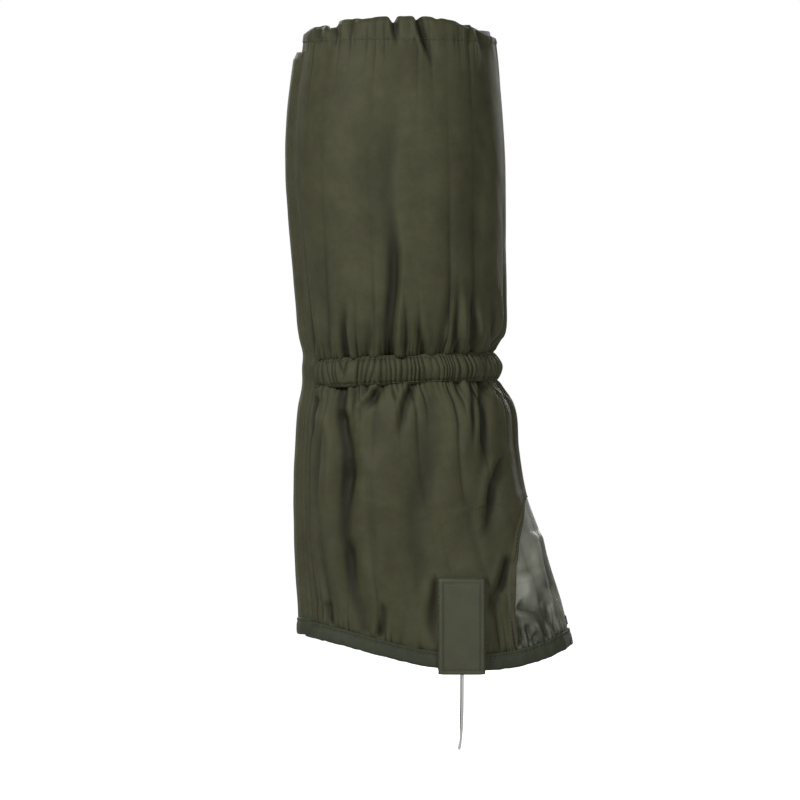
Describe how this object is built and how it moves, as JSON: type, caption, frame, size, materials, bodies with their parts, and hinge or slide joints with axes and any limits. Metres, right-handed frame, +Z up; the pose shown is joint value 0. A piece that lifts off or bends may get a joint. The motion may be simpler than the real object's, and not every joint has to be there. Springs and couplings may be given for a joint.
{
  "type": "gaiter",
  "caption": "Knee-high fabric gaiter for one boot: gathered waist, rear zip under a storm flap, coated instep gusset, lace hook and steel sole cable.",
  "frame": {"origin": "on the leg's axis, at the middle of the elastic that grips the leg", "axes": "+Z up the leg, +X towards the toe, +Y towards the inner side of the leg"},
  "size_m": [0.2013, 0.134, 0.506],
  "materials": {
    "sleeve_fabric": "matt olive woven polyester with a fine twill line",
    "gusset_fabric": "coated fabric with a wet shine",
    "binding_fabric": "smooth folded binding tape with a row of stitches",
    "pocket_fabric": "coated fabric, satin, with a stitched border",
    "elastic": "knitted flat elastic",
    "zip_tape": "woven zip tape",
    "zip_teeth": "moulded plastic teeth",
    "zip_metal": "die-cast metal, dark enamel",
    "stud_metal": "pressed brass, dark enamel",
    "hook_and_loop": "nylon hook and loop tape",
    "cable_steel": "stranded galvanised steel cable",
    "rivet_steel": "pressed steel",
    "hook_metal": "bent steel strip, black enamel"
  },
  "bodies": {
    "sleeve": {"outer_upper_panel": "sleeve_fabric", "inner_upper_panel": "sleeve_fabric", "outer_lower_panel": "sleeve_fabric", "inner_lower_panel": "sleeve_fabric", "front_gusset": "gusset_fabric", "hem_binding": "binding_fabric", "top_casing": "sleeve_fabric", "top_elastic": "elastic", "waist_casing": "sleeve_fabric", "waist_elastic": "elastic", "outer_zip_tape": "zip_tape", "inner_zip_tape": "zip_tape", "outer_zip_teeth": "zip_teeth", "inner_zip_teeth": "zip_teeth", "zip_box": "zip_teeth", "zip_pin": "zip_teeth", "zip_top_stops": "zip_teeth", "flap_seam_tape": "sleeve_fabric", "sleeve_loop_tape": "hook_and_loop", "press_stud_balls": "stud_metal", "outer_pocket_cover": "pocket_fabric", "inner_pocket_cover": "pocket_fabric", "outer_pocket_backing": "pocket_fabric", "inner_pocket_backing": "pocket_fabric", "outer_anchor_rivet": "rivet_steel", "inner_anchor_rivet": "rivet_steel", "lace_hook": "hook_metal", "lace_hook_rivet": "rivet_steel"},
    "slider": {"zip_slider": "zip_metal"},
    "pull": {"zip_pull": "zip_metal"},
    "flap": {"storm_flap": "sleeve_fabric", "flap_hook_tape": "hook_and_loop", "press_stud_caps": "stud_metal", "press_stud_sockets": "stud_metal"},
    "cable": {"sole_cable": "cable_steel", "outer_cable_eye": "rivet_steel", "inner_cable_eye": "rivet_steel"}
  },
  "joints": [
    {"name": "zip_slide", "type": "slide", "parent": "sleeve", "child": "slider", "axis": [0, 0, -1], "range_m": [0, 0.37]},
    {"name": "pull_swing", "type": "hinge", "parent": "slider", "child": "pull", "pos_m": [-0.0678, 0, 0.2139], "axis": [0, 1, 0], "range_deg": [0, 80]},
    {"name": "flap_open", "type": "hinge", "parent": "sleeve", "child": "flap", "pos_m": [-0.078, -0.0215, 0], "axis": [0, 0, 1], "range_deg": [0, 150]},
    {"name": "cable_swing", "type": "hinge", "parent": "sleeve", "child": "cable", "pos_m": [0.042, 0, -0.18], "axis": [0, 1, 0], "range_deg": [-20, 20]}
  ],
  "couplings": [
    {"joint": "pull_swing", "follows": "flap_open", "ratio": 0.5}
  ]
}
